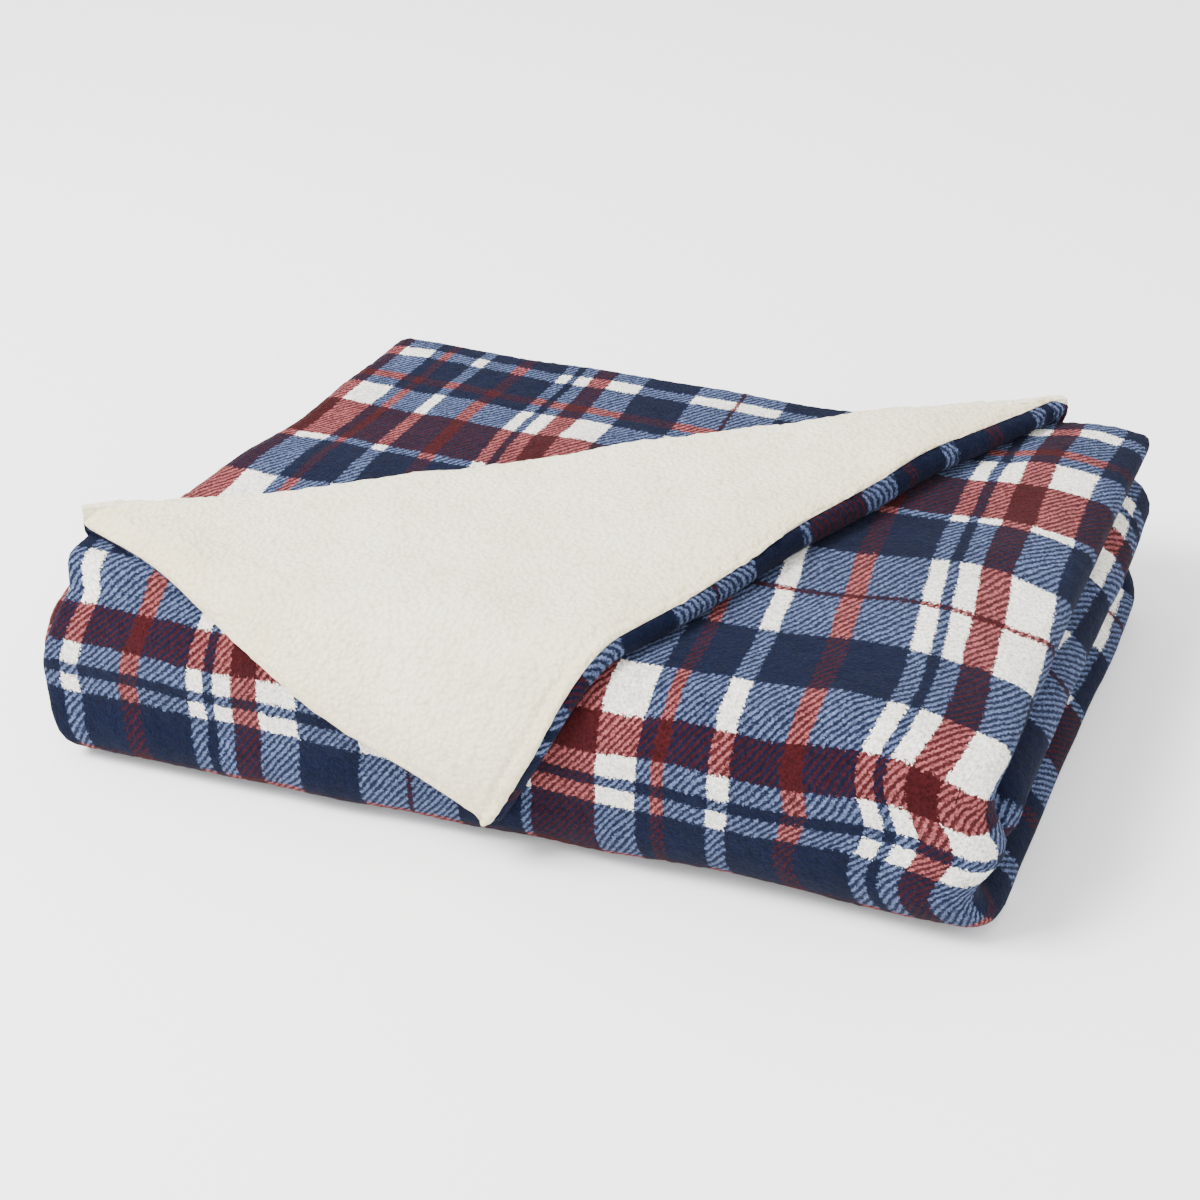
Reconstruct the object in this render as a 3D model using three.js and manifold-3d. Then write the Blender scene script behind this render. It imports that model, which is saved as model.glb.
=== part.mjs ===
// A two-ply throw blanket, folded into a stack with one corner turned back.
// Plush face and sherpa backing are separate sheets, sewn together at the hems.
// Millimetres, +Z up, +X along the wide side, -Y to the front.
// The origin is under the middle of the whole object, on the surface it lies on.

import * as THREE from 'three';
import { mergeVertices } from 'three/addons/utils/BufferGeometryUtils.js';
import Module from 'manifold-3d';

const wasm = await Module();
wasm.setup();

// ---- Driving dimensions ----

const BLANKET_LENGTH = 1524; // folded in three across the stack
const BLANKET_WIDTH = 1270; // folded in half twice from front to back
const PLUSH = 4.2; // thickness of the face sheet with its pile
const SHERPA = 4.5; // thickness of the backing sheet with its pile
const GAP = 0.3; // air between two sheets that lie on each other
const FRONT_INNER_RADIUS = 5; // inside of the two bends of the outer front fold
const FLAP_SIDE = 276; // length of the side hem on the turned-back corner
const FLAP_END = 452; // length of the end hem on the turned-back corner
const DRAPE_BEND = THREE.MathUtils.degToRad(45); // each of the two bends over the front
const STITCH_INSET = 9; // from the hem to the topstitching
const THREAD = 0.8; // width and height of the topstitching
const GROOVE = 2.4; // width of the dent that the topstitching pulls into the pile

// ---- Sizes that follow ----

const HALF_GAP = GAP / 2;
const LAYER = PLUSH + SHERPA + 2 * GAP; // one thickness of blanket
const BUNDLE = 3 * LAYER; // three layers of the width fold
const STACK = 4 * BUNDLE; // four bundles of the depth fold

// Width fold: the first panel on top, then a fold on the right, the bottom
// panel, a fold on the left, and the last panel in between.
const RIGHT_FOLD = Math.PI * LAYER;
const LEFT_FOLD = (Math.PI * LAYER) / 2;
const PANEL = (BLANKET_LENGTH - RIGHT_FOLD - LEFT_FOLD) / 3;
const RIGHT = PANEL / 2 - LAYER / 4;
const LEFT = RIGHT - PANEL;

// Depth fold: two half folds, with the outer one squared off at the front.
const FRONT_RADIUS = FRONT_INNER_RADIUS + BUNDLE;
const FRONT_REACH = BUNDLE - FRONT_INNER_RADIUS; // flat stretch past the fold axis
const FRONT_WALL = 2 * FRONT_REACH; // upright stretch between the two bends
const OUTER_FOLD = Math.PI * (FRONT_INNER_RADIUS + BUNDLE / 2) + FRONT_WALL + 2 * FRONT_REACH;
const INNER_FOLD = (Math.PI * BUNDLE) / 2;
const HEM_REACH = BUNDLE - LAYER; // the end hems stop one layer short of the back fold's outside
const QUARTER = (BLANKET_WIDTH - OUTER_FOLD - 2 * INNER_FOLD - 2 * HEM_REACH) / 4;

// The drape hangs in front of the stack, so it counts in the overall depth.
const FRONT_EDGE = 2 * BUNDLE + LAYER - HALF_GAP;
const BACK_EDGE = QUARTER + BUNDLE - HALF_GAP;
const FRONT = (FRONT_EDGE - BACK_EDGE) / 2; // Y of the front folds' axis
const BACK = FRONT + QUARTER; // Y of the back fold's axis
const HEM = BACK + HEM_REACH; // Y of the end hems
const FLAT_FRONT = FRONT - FRONT_REACH; // where the top starts to bend down

// The lowest face of the lowest bundle stands half a gap above its own bottom.
const BASE = -HALF_GAP;
const TOP = BASE + STACK;

// Crease of the turned-back corner, from the side hem to the end hem, and the
// corner itself, mirrored over that crease.
const CREASE_LEFT = new THREE.Vector2(LEFT, HEM - FLAP_SIDE);
const CREASE_BACK = new THREE.Vector2(LEFT + FLAP_END, HEM);
const CREASE_LENGTH = CREASE_LEFT.distanceTo(CREASE_BACK);
const CREASE_ANGLE = Math.atan2(FLAP_SIDE, FLAP_END);
const TIP = new THREE.Vector2(Math.sin(2 * CREASE_ANGLE), -Math.cos(2 * CREASE_ANGLE))
  .multiplyScalar(FLAP_SIDE)
  .add(CREASE_LEFT);
const TIP_HEIGHT = (FLAP_SIDE * FLAP_END) / CREASE_LENGTH; // from the crease to the tip

// The drape goes round the front bend as a tangent polygon.
const DRAPE_TANGENT = FRONT_RADIUS * Math.tan(DRAPE_BEND / 2);
const DRAPE_LINE_1 = FLAT_FRONT - DRAPE_TANGENT;
const DRAPE_LINE_2 = DRAPE_LINE_1 - 2 * DRAPE_TANGENT;

// ---- Materials ----

const plushMaterial = new THREE.MeshStandardMaterial({ color: 0x2c3a5c, roughness: 0.95, metalness: 0 });
const sherpaMaterial = new THREE.MeshStandardMaterial({ color: 0xeae6da, roughness: 1, metalness: 0 });
const threadMaterial = new THREE.MeshStandardMaterial({ color: 0xe0dac8, roughness: 0.8, metalness: 0 });

// ---- The two plies ----

// right and left: outer and inner radius in the right and left width folds.
// turned: lowest and highest face on the turned-back corner, above the crease.
const plies = {
  plush: {
    material: plushMaterial,
    right: [1.5 * LAYER - HALF_GAP, 1.5 * LAYER - HALF_GAP - PLUSH],
    left: [LAYER - HALF_GAP, LAYER - HALF_GAP - PLUSH],
    turned: [HALF_GAP, HALF_GAP + PLUSH],
  },
  sherpa: {
    material: sherpaMaterial,
    right: [LAYER / 2 + HALF_GAP + SHERPA, LAYER / 2 + HALF_GAP],
    left: [HALF_GAP + SHERPA, HALF_GAP],
    turned: [LAYER - HALF_GAP - SHERPA, LAYER - HALF_GAP],
  },
};

const FOLD_STEPS = 8;
const blanket = new THREE.Group();

function addMesh(name, geometry, material, parent = blanket) {
  const mesh = new THREE.Mesh(geometry, material);
  mesh.name = name;
  parent.add(mesh);
}

// Turns every triangle over where a bend has mirrored the solid.
function facingOut(geometry) {
  const p = geometry.getAttribute('position');
  const a = new THREE.Vector3();
  const b = new THREE.Vector3();
  const c = new THREE.Vector3();
  let volume = 0;
  for (let i = 0; i < p.count; i += 3) {
    a.fromBufferAttribute(p, i);
    b.fromBufferAttribute(p, i + 1);
    c.fromBufferAttribute(p, i + 2);
    volume += a.dot(b.cross(c));
  }
  for (let i = 0; volume < 0 && i < p.count; i += 3) {
    a.fromBufferAttribute(p, i);
    b.fromBufferAttribute(p, i + 1);
    p.setXYZ(i, b.x, b.y, b.z);
    p.setXYZ(i + 1, a.x, a.y, a.z);
  }
  geometry.computeVertexNormals();
  return geometry;
}

function solid(geometry) {
  const bare = geometry.clone();
  bare.deleteAttribute('normal');
  bare.deleteAttribute('uv');
  const merged = mergeVertices(bare);
  const mesh = new wasm.Mesh({
    numProp: 3,
    vertProperties: new Float32Array(merged.getAttribute('position').array),
    triVerts: new Uint32Array(merged.index.array),
  });
  return new wasm.Manifold(mesh);
}

function cutAway(geometry, cutters) {
  let rest = solid(geometry);
  for (const cutter of cutters) {
    rest = rest.subtract(solid(cutter));
  }
  const mesh = rest.getMesh();
  const result = new THREE.BufferGeometry();
  result.setAttribute('position', new THREE.BufferAttribute(mesh.vertProperties, 3));
  result.setIndex(new THREE.BufferAttribute(mesh.triVerts, 1));
  result.computeVertexNormals();
  return result;
}

// ---- Width profiles of one ply: X across, Y as height in the bundle ----

// Bottom panel, left fold and middle panel, drawn from the right end round to it.
function lowerPanels(shape, ply, right) {
  const [rightOuter, rightInner] = ply.right;
  const [leftOuter, leftInner] = ply.left;
  shape.lineTo(LEFT, -rightOuter);
  shape.absarc(LEFT, -LAYER / 2, leftOuter, -Math.PI / 2, Math.PI / 2, true);
  shape.lineTo(right, leftOuter - LAYER / 2);
  shape.lineTo(right, leftInner - LAYER / 2);
  shape.lineTo(LEFT, leftInner - LAYER / 2);
  shape.absarc(LEFT, -LAYER / 2, leftInner, Math.PI / 2, -Math.PI / 2, false);
  shape.lineTo(right, -rightInner);
}

function lowerProfile(ply) {
  const right = RIGHT - GAP;
  const shape = new THREE.Shape();
  shape.moveTo(right, -ply.right[0]);
  lowerPanels(shape, ply, right);
  return shape;
}

function wholeProfile(ply) {
  const [outer, inner] = ply.right;
  const shape = new THREE.Shape();
  shape.moveTo(LEFT, outer);
  shape.lineTo(RIGHT, outer);
  shape.absarc(RIGHT, 0, outer, Math.PI / 2, -Math.PI / 2, true);
  lowerPanels(shape, ply, RIGHT);
  shape.absarc(RIGHT, 0, inner, -Math.PI / 2, Math.PI / 2, false);
  shape.lineTo(LEFT, inner);
  return shape;
}

function rightFoldProfile(ply) {
  const [outer, inner] = ply.right;
  const shape = new THREE.Shape();
  shape.moveTo(RIGHT, outer);
  shape.absarc(RIGHT, 0, outer, Math.PI / 2, -Math.PI / 2, true);
  shape.absarc(RIGHT, 0, inner, -Math.PI / 2, Math.PI / 2, false);
  return shape;
}

// ---- Places along the depth: each gives [y, z] for a share t and a height ----

// A flat quarter from one Y to another, with its first panel up (1) or down (-1).
function flat(from, to, bundle, up) {
  const start = from + HALF_GAP;
  const length = to - HALF_GAP - start;
  const middle = BASE + (bundle - 0.5) * BUNDLE;
  return (t, height) => [start + t * length, middle + up * height];
}

// A half turn between two bundles, bulging to the front (-1) or to the back (1).
// Its first panel is on the inside (-1) or on the outside (1).
function halfTurn(y, bundlesBelow, side, outside) {
  const middle = BASE + bundlesBelow * BUNDLE;
  return (t, height) => {
    const radius = BUNDLE / 2 + outside * height;
    const angle = Math.PI * t;
    return [y + side * radius * Math.sin(angle), middle + radius * Math.cos(angle)];
  };
}

// The outer front fold: a bend, an upright wall and a bend. Its shares come in
// FOLD_STEPS / 2 steps for each bend and one for the wall.
const SQUARED_STEPS = FOLD_STEPS + 1;
function squaredFold(t, height) {
  const bendSteps = FOLD_STEPS / 2;
  const step = Math.round(t * SQUARED_STEPS);
  const fromWall = step <= bendSteps ? bendSteps - step : step - bendSteps - 1;
  const up = step <= bendSteps ? 1 : -1;
  const angle = (Math.PI / 2) * (fromWall / bendSteps);
  const radius = FRONT_INNER_RADIUS + BUNDLE / 2 + height;
  const z = BASE + STACK / 2 + up * (FRONT_WALL / 2 + radius * Math.sin(angle));
  return [FLAT_FRONT - radius * Math.cos(angle), z];
}

// Extrudes a width profile and lays it along the depth.
function sweep(profile, steps, place) {
  const geometry = new THREE.ExtrudeGeometry(profile, {
    depth: 1,
    steps,
    bevelEnabled: false,
    curveSegments: FOLD_STEPS,
  });
  const p = geometry.getAttribute('position');
  for (let i = 0; i < p.count; i += 1) {
    const [y, z] = place(p.getZ(i), p.getY(i));
    p.setXYZ(i, p.getX(i), y, z);
  }
  return facingOut(geometry);
}

// ---- The folded stack: quarters 1 to 4 in the order of the blanket's width ----

function topPanel(ply) {
  const [high, low] = ply.right;
  const clear = HALF_GAP / TIP_HEIGHT;
  const corner = new THREE.Vector2(LEFT, HEM);
  const beforeCrease = (point) => point.clone().lerp(corner, -clear);
  const left = beforeCrease(CREASE_LEFT);
  const back = beforeCrease(CREASE_BACK);
  const right = RIGHT - GAP;
  const shape = new THREE.Shape([
    new THREE.Vector2(LEFT, FLAT_FRONT + HALF_GAP),
    new THREE.Vector2(right, FLAT_FRONT + HALF_GAP),
    new THREE.Vector2(right, HEM - HALF_GAP),
    new THREE.Vector2(back.x, HEM - HALF_GAP),
    left,
  ]);
  const geometry = new THREE.ExtrudeGeometry(shape, { depth: high - low, bevelEnabled: false });
  geometry.translate(0, 0, BASE + 3.5 * BUNDLE + low);
  return geometry;
}

for (const [name, ply] of Object.entries(plies)) {
  const whole = wholeProfile(ply);
  const add = (part, geometry) => addMesh(`${name}_${part}`, geometry, ply.material);
  add('quarter_1', sweep(whole, 1, flat(FRONT, HEM, 3, -1)));
  add('quarter_2', sweep(whole, 1, flat(FRONT, BACK, 2, 1)));
  add('quarter_3', sweep(whole, 1, flat(FLAT_FRONT, BACK, 1, -1)));
  add('quarter_4_lower_panels', sweep(lowerProfile(ply), 1, flat(FLAT_FRONT, HEM, 4, 1)));
  add('quarter_4_side_fold', sweep(rightFoldProfile(ply), 1, flat(FLAT_FRONT, HEM, 4, 1)));
  add('quarter_4_top_panel', topPanel(ply));
  add('inner_front_fold', sweep(whole, FOLD_STEPS, halfTurn(FRONT, 2, -1, -1)));
  add('back_fold', sweep(whole, FOLD_STEPS, halfTurn(BACK, 1, 1, 1)));
  add('outer_front_fold', sweep(whole, SQUARED_STEPS, squaredFold));
}

// ---- The crease of the turned-back corner ----

const crease = new THREE.Group();
crease.position.set(CREASE_LEFT.x, CREASE_LEFT.y, TOP);
crease.rotation.z = CREASE_ANGLE;
blanket.add(crease);

// Local X runs along the crease and local Y away from the flap.
const alongCrease = new THREE.Matrix4().makeBasis(
  new THREE.Vector3(0, 1, 0),
  new THREE.Vector3(0, 0, 1),
  new THREE.Vector3(1, 0, 0),
);

function creaseRoll(ply) {
  const [inner, outer] = ply.turned;
  const shape = new THREE.Shape();
  shape.moveTo(HALF_GAP, -outer);
  shape.absarc(HALF_GAP, 0, outer, -Math.PI / 2, Math.PI / 2, false);
  shape.absarc(HALF_GAP, 0, inner, Math.PI / 2, -Math.PI / 2, true);
  const options = { depth: CREASE_LENGTH, bevelEnabled: false, curveSegments: FOLD_STEPS };
  return new THREE.ExtrudeGeometry(shape, options).applyMatrix4(alongCrease);
}

for (const [name, ply] of Object.entries(plies)) {
  addMesh(`${name}_crease_roll`, creaseRoll(ply), ply.material, crease);
}

// ---- The turned-back corner: a flat flap and two drapes over the front ----

const flap = new THREE.Group();
flap.position.z = TOP;
blanket.add(flap);

const drapeUpper = new THREE.Group();
drapeUpper.position.y = DRAPE_LINE_1;
drapeUpper.rotation.x = DRAPE_BEND;
flap.add(drapeUpper);

const drapeLower = new THREE.Group();
drapeLower.position.y = DRAPE_LINE_2 - DRAPE_LINE_1;
drapeLower.rotation.x = DRAPE_BEND;
drapeUpper.add(drapeLower);

// Each slice of the corner lies between two lines of constant Y, in flat plan.
const slices = [
  { name: 'flap', group: flap, back: null, front: DRAPE_LINE_1 },
  { name: 'upper_drape', group: drapeUpper, back: DRAPE_LINE_1, front: DRAPE_LINE_2 },
  { name: 'lower_drape', group: drapeLower, back: DRAPE_LINE_2, front: null },
];

// The point at height y on the line from a to b.
function atY(a, b, y) {
  return a.clone().lerp(b, (y - a.y) / (b.y - a.y));
}

// A line from near the crease to the tip, kept to one slice, with a margin at its ends.
function withinSlice(start, end, slice, margin) {
  const from = slice.back === null ? start : atY(start, end, slice.back - margin);
  const to = slice.front === null ? end : atY(start, end, slice.front + margin);
  return [from, to];
}

function slicePly(slice, ply) {
  const clear = HALF_GAP / TIP_HEIGHT;
  const sideStart = CREASE_LEFT.clone().lerp(TIP, clear);
  const endStart = CREASE_BACK.clone().lerp(TIP, clear);
  const [sideFrom, sideTo] = withinSlice(sideStart, TIP, slice, HALF_GAP);
  const [endFrom, endTo] = withinSlice(endStart, TIP, slice, HALF_GAP);
  const outline = [endFrom, sideFrom, sideTo];
  if (slice.front !== null) {
    outline.push(endTo);
  }
  const [low, high] = ply.turned;
  const shape = new THREE.Shape(outline);
  const geometry = new THREE.ExtrudeGeometry(shape, { depth: high - low, bevelEnabled: false });
  return geometry.translate(0, -(slice.back ?? 0), low);
}

// Topstitching: one line inside each hem, that the pile closes over.
const insetX = (STITCH_INSET * FLAP_END) / CREASE_LENGTH;
const stitchLines = {
  side: { start: CREASE_LEFT, hem: TIP.clone().sub(CREASE_LEFT), turn: Math.PI / 2 },
  end: { start: CREASE_BACK, hem: TIP.clone().sub(CREASE_BACK), turn: -Math.PI / 2 },
};

function stitchSegment(line, slice, margin) {
  const along = line.hem.clone().normalize();
  const inward = along.clone().rotateAround(new THREE.Vector2(), line.turn);
  const shift = inward.multiplyScalar(STITCH_INSET);
  const start = line.start.clone().add(shift).addScaledVector(along, 2 * insetX);
  const end = TIP.clone().add(shift).addScaledVector(along, -2 * STITCH_INSET);
  return withinSlice(start, end, slice, margin);
}

function barAlong([from, to], slice, width, low, high) {
  const length = from.distanceTo(to);
  const angle = Math.atan2(to.y - from.y, to.x - from.x);
  const bar = new THREE.BoxGeometry(length, width, high - low);
  bar.rotateZ(angle);
  return bar.translate((from.x + to.x) / 2, (from.y + to.y) / 2 - (slice.back ?? 0), (low + high) / 2);
}

const PILE_TOP = LAYER - HALF_GAP;
const GROOVE_FLOOR = PILE_TOP - THREAD - GAP;

for (const slice of slices) {
  const grooves = [];
  for (const [name, line] of Object.entries(stitchLines)) {
    const groove = stitchSegment(line, slice, GAP);
    const thread = stitchSegment(line, slice, 2 * GAP);
    grooves.push(barAlong(groove, slice, GROOVE, GROOVE_FLOOR, PILE_TOP + GAP));
    const bar = barAlong(thread, slice, THREAD, PILE_TOP - THREAD, PILE_TOP);
    addMesh(`${name}_topstitch_${slice.name}`, bar, threadMaterial, slice.group);
  }
  addMesh(`plush_${slice.name}`, slicePly(slice, plies.plush), plushMaterial, slice.group);
  const pile = cutAway(slicePly(slice, plies.sherpa), grooves);
  addMesh(`sherpa_${slice.name}`, pile, sherpaMaterial, slice.group);
}

export default blanket;
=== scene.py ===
"""A folded two-ply throw blanket: printed plaid plush outside, cream sherpa inside.

Lengths in this script are millimetres, turned into metres when a mesh is made.
X runs along the wide side, -Y to the front, Z up.
"""
import math

import bpy
import numpy as np
from mathutils import Matrix, Vector, noise


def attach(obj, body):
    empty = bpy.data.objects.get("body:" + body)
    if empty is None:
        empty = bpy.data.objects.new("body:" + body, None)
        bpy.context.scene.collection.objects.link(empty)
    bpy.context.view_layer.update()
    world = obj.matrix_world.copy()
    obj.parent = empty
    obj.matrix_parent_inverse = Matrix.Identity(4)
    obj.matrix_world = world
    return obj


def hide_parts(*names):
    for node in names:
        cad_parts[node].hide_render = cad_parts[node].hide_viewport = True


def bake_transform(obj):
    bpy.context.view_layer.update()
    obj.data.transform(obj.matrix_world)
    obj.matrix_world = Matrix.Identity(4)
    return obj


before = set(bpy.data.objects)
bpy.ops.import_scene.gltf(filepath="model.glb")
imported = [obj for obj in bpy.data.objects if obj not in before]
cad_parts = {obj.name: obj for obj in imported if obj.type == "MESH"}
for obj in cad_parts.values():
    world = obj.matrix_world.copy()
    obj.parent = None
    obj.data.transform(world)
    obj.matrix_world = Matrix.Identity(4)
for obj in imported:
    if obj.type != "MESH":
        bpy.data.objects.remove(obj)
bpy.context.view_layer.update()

# ---- Dimensions of the folded blanket, as in the CAD model ----

BLANKET_LENGTH = 1524
BLANKET_WIDTH = 1270
PLUSH = 4.2
SHERPA = 4.5
GAP = 0.3
FRONT_INNER_RADIUS = 5
FLAP_SIDE = 276
FLAP_END = 452
STITCH_INSET = 9

HALF_GAP = GAP / 2
LAYER = PLUSH + SHERPA + 2 * GAP
BUNDLE = 3 * LAYER
STACK = 4 * BUNDLE

RIGHT_FOLD = math.pi * LAYER
LEFT_FOLD = math.pi * LAYER / 2
PANEL = (BLANKET_LENGTH - RIGHT_FOLD - LEFT_FOLD) / 3
RIGHT = PANEL / 2 - LAYER / 4
LEFT = RIGHT - PANEL

FRONT_RADIUS = FRONT_INNER_RADIUS + BUNDLE
FRONT_REACH = BUNDLE - FRONT_INNER_RADIUS
FRONT_WALL = 2 * FRONT_REACH
BEND_CENTRE = FRONT_INNER_RADIUS + BUNDLE / 2
FRONT_BEND = BEND_CENTRE * math.pi / 2
OUTER_FOLD = 2 * FRONT_BEND + FRONT_WALL + 2 * FRONT_REACH
INNER_FOLD = math.pi * BUNDLE / 2
HEM_REACH = BUNDLE - LAYER
QUARTER = (BLANKET_WIDTH - OUTER_FOLD - 2 * INNER_FOLD - 2 * HEM_REACH) / 4

FRONT_EDGE = 2 * BUNDLE + LAYER - HALF_GAP
BACK_EDGE = QUARTER + BUNDLE - HALF_GAP
FRONT = (FRONT_EDGE - BACK_EDGE) / 2
BACK = FRONT + QUARTER
HEM = BACK + HEM_REACH
FLAT_FRONT = FRONT - FRONT_REACH
BASE = -HALF_GAP
TOP = BASE + STACK

# Along the sheet's length (u) and width (v), where each panel and fold starts.
U_RIGHT_FOLD = PANEL
U_BOTTOM = PANEL + RIGHT_FOLD
U_LEFT_FOLD = U_BOTTOM + PANEL
U_MIDDLE = U_LEFT_FOLD + LEFT_FOLD
V_OUTER_FOLD = HEM - FLAT_FRONT
V_QUARTER_3 = V_OUTER_FOLD + 2 * FRONT_BEND + FRONT_WALL
V_BACK_FOLD = V_QUARTER_3 + BACK - FLAT_FRONT
V_QUARTER_2 = V_BACK_FOLD + INNER_FOLD
V_INNER_FOLD = V_QUARTER_2 + QUARTER
V_QUARTER_1 = V_INNER_FOLD + INNER_FOLD

# The turned-back corner, in plan, laid out flat.
CREASE_LEFT = np.array([LEFT, HEM - FLAP_SIDE])
CREASE_BACK = np.array([LEFT + FLAP_END, HEM])
CREASE_ANGLE = math.atan2(FLAP_SIDE, FLAP_END)
CREASE_LENGTH = math.hypot(FLAP_SIDE, FLAP_END)
TIP_TURN = 2 * CREASE_ANGLE
TIP = CREASE_LEFT + FLAP_SIDE * np.array([math.sin(TIP_TURN), -math.cos(TIP_TURN)])

# ---- How the soft blanket differs from the ideal fold ----

EDGE_ROUND = 5.0  # a hem is rounded off over this distance
FLOOR_CLEAR = 0.2  # no cloth reaches lower than this

# Unevenness: how far the noise moves a point, and the size of its grain.
NOISE_SEED = 1
SAG = 2.2  # of the whole blanket
SAG_GRAIN = 65.0
NAP = 0.5  # of the faces in the stack
FLAP_NAP = 0.6  # of the turned corner's plush
NAP_GRAIN = 4.0
CURL = 0.9  # of the turned corner's sherpa, in small curls
CURL_GRAIN = 5.0
HEAVE = 1.2  # and in slower waves
HEAVE_GRAIN = 30.0

# The height of the top.
FRONT_FALL = 4.0  # it falls away to the front
MIDDLE_RISE = 6.0  # it is full beside the turned corner
BACK_RISE = 7.0  # and more so at the back on the right
RIGHT_FALL = 12.0  # before it drops to the right end
PRESSED = 9.0  # behind the crease it is pressed down
PRESSED_EASE = 0.03  # less so for each millimetre further back
PRESSED_LEAST = 2.0
CREASE_LIFT = 6.0  # the left end of the crease stands off the stack
CREASE_LIFT_REACH = 70.0

# The front, the back and the ends.
TOP_SET_BACK = 8.0  # of the front face at the top
FOOT_FORWARD = 16.0  # of the front face at the floor, towards the left
BACK_REACH = 15.0  # of the upper half past the back fold
LEAN = 0.08  # shift to the right per millimetre behind the crease
LEFT_SPREAD = 20.0  # of the left end, most at the height below
LEFT_SPREAD_HEIGHT = 50.0
LEFT_SPREAD_RANGE = 45.0
LEFT_TOP_SPREAD = 14.0  # of its top front corner
RIGHT_BULGE = 12.0  # of the right end
RIGHT_WAVE = 5.0  # it goes in and out by this much with height
RIGHT_WAVE_LENGTH = 9.0  # height for each radian of the wave

# The turned corner.
SHERPA_PUFF = 5.0  # the turned-up pile stands this much prouder than its solid
PUFF_REACH = 12.0  # it is full this far inside the side hem
BAND_HEIGHT = 12.0  # of the plush rolled round the end hem, at the tip
BAND_GROWTH = 6.0  # it is higher away from the tip
BAND_END_FALL = 4.0  # and lower again at the far end
BAND_DEPTH = 7.0  # its edge is rounded off over this distance
TIP_ROUND = 13.0  # radius of the tip
DRAPE_RADIUS = FRONT_RADIUS + 2.5  # of the cloth going over the front
STITCH_DENT = 1.1  # the row of stitches pulls the pile in by this much
STITCH_LINE = STITCH_INSET + 3  # from a hem to the stitches, further in than on the solids
STITCH_LENGTH = 3.4
STITCH_PITCH = 4.6
THREAD_RADIUS = 0.6
SHERPA_LEAST = 2.4  # the turned-up sherpa is no thinner than this inside its rounded edge
PLUSH_INSET = 0.3  # where each ply ends inside the end hem
SHERPA_INSET = 5.0
CREASE_OVERLAP = 0.4  # the turned corner reaches this far into the roll at its crease
HEM_STRIP = 22.0  # at either end of a row this width has the closest points
HEM_STRIP_SHARE = 0.14  # and this share of the row's points
FAR_FROM_HEM = 50.0


def smooth(x, low, high):
    """Smooth step from 0 at low to 1 at high."""
    t = np.clip((x - low) / (high - low), 0, 1)
    return t * t * (3 - 2 * t)


def behind_crease(x, y):
    """Distance along Y behind the crease line, negative in front of it."""
    return y - CREASE_LEFT[1] - (x - LEFT) * FLAP_SIDE / FLAP_END


def beside_end_hem(x, y):
    """Distance to the right of the turned corner's end hem."""
    along = (TIP - CREASE_BACK) / FLAP_END
    return -(x - CREASE_BACK[0]) * along[1] + (y - CREASE_BACK[1]) * along[0]


def soft_height(x, y, z, flat_y, on_stack):
    """Z of the soft blanket: where its top is full and where it falls away."""
    beside = beside_end_hem(x, flat_y)
    behind = behind_crease(x, flat_y)
    fall = FRONT_FALL * smooth(-y, -30, 150)
    full = MIDDLE_RISE * smooth(beside, 10, 90) * smooth(x, 40, 200)
    full = full + BACK_RISE * smooth(x, 130, 210) * smooth(y, 20, 150) * smooth(beside, -5, 30)
    full = full - RIGHT_FALL * smooth(x, 200, 262)
    # Behind the crease the stack is pressed down where the open corner will lie.
    if on_stack:
        fall = fall + smooth(behind, 4, 16) * np.maximum(PRESSED - PRESSED_EASE * behind, PRESSED_LEAST)
    soft_z = z + np.clip(z / TOP, 0, 1.2) * (full - fall)
    from_crease_end = (x - LEFT) ** 2 + (flat_y - CREASE_LEFT[1]) ** 2
    lift = np.exp(-from_crease_end / CREASE_LIFT_REACH ** 2)
    return soft_z + CREASE_LIFT * lift * smooth(z, TOP - 6, TOP + 2)


def soft_depth(x, y, z):
    """Y of the soft blanket: the slope of its front and the reach of its back."""
    front = smooth(-y, 80, 160)
    foot = FOOT_FORWARD * smooth(-z, -48, 0) * smooth(-x, -200, 250)
    soft_y = y + front * (TOP_SET_BACK * smooth(z, 62, 112) - foot)
    return soft_y + BACK_REACH * smooth(y, -160, 150) * smooth(z, 50, 84)


def soft_side(x, y, z, flat_y, on_stack):
    """X of the soft blanket: the lean of its top and the bulge of its ends."""
    behind = behind_crease(x, flat_y)
    lean = LEAN * behind * (1 + 1.1 * smooth(-x, 40, 250) * smooth(behind, 0, 200))
    soft_x = x + lean if on_stack else x
    low = np.exp(-((z - LEFT_SPREAD_HEIGHT) / LEFT_SPREAD_RANGE) ** 2)
    soft_x = soft_x - smooth(-x, 130, 250) * LEFT_SPREAD * low * smooth(-y, -60, 60)
    soft_x = soft_x - LEFT_TOP_SPREAD * smooth(-x, 170, 255) * smooth(z, 100, 112) * smooth(-y, 30, 110)
    bulge = RIGHT_BULGE + RIGHT_WAVE * np.sin(z / RIGHT_WAVE_LENGTH + 0.8)
    return soft_x + smooth(x, 100, 250) * bulge


def soften(points, plan=None):
    """Moves ideal points (n, 3) to where the soft blanket lies.

    For the turned corner, plan is each point's Y with the hanging tip laid out flat.
    """
    x, y, z = points.T
    on_stack = plan is None
    flat_y = y if on_stack else plan
    soft_x = soft_side(x, y, z, flat_y, on_stack)
    soft_z = soft_height(x, y, z, flat_y, on_stack)
    return np.stack([soft_x, soft_depth(x, y, z), soft_z], axis=1)


# ---- The sheet's ideal place: u along its length, v along its width ----

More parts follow.
